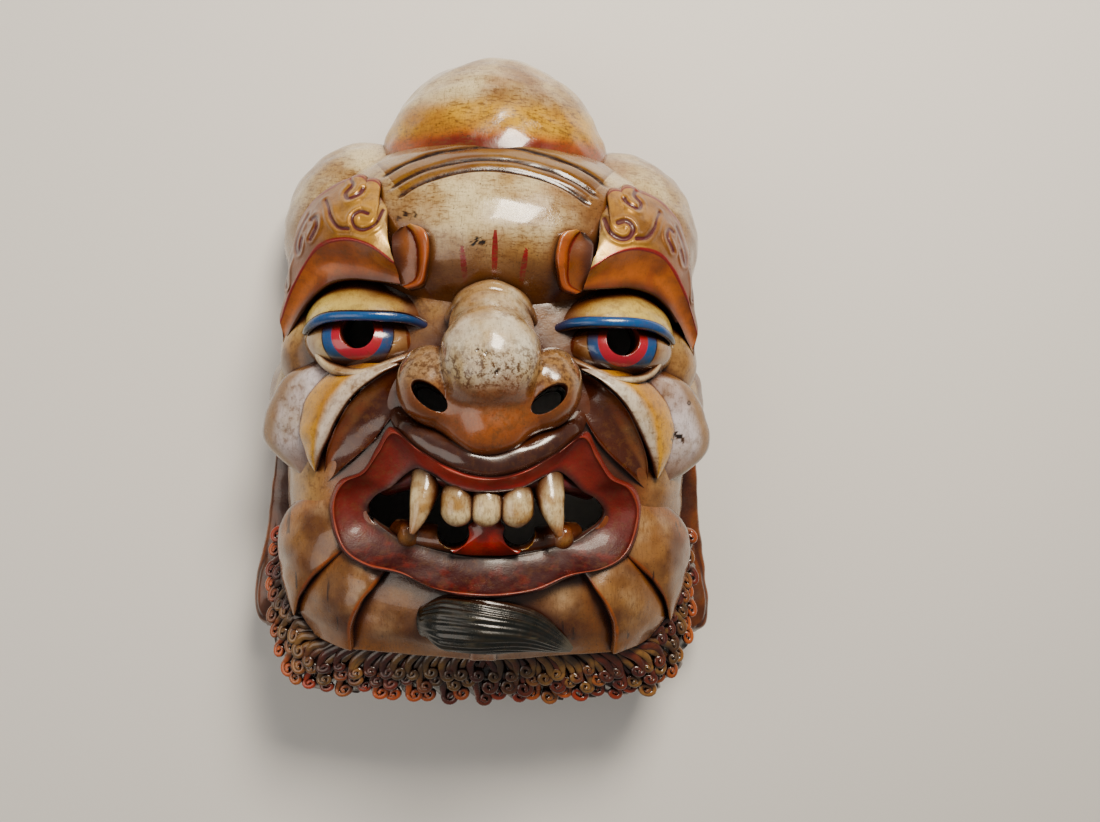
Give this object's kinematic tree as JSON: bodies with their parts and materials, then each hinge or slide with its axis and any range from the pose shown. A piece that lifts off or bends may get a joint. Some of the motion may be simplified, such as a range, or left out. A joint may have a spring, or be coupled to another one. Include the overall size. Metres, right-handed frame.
{
  "type": "tibetan cham mask",
  "caption": "Carved and painted wooden dance mask: wrathful face with gilded brows, fangs, curling beard fringe and a hollow back.",
  "frame": {"origin": "middle of the mask's outline on the back plane, where its sawn back rim lies", "axes": "+X viewer's right across the face, +Y towards the crown, +Z out of the face through the nose"},
  "size_m": [0.316, 0.432, 0.1995],
  "materials": {
    "painted_wood": "gloss"
  },
  "bodies": {
    "root": {"mask": "painted_wood"}
  },
  "joints": []
}
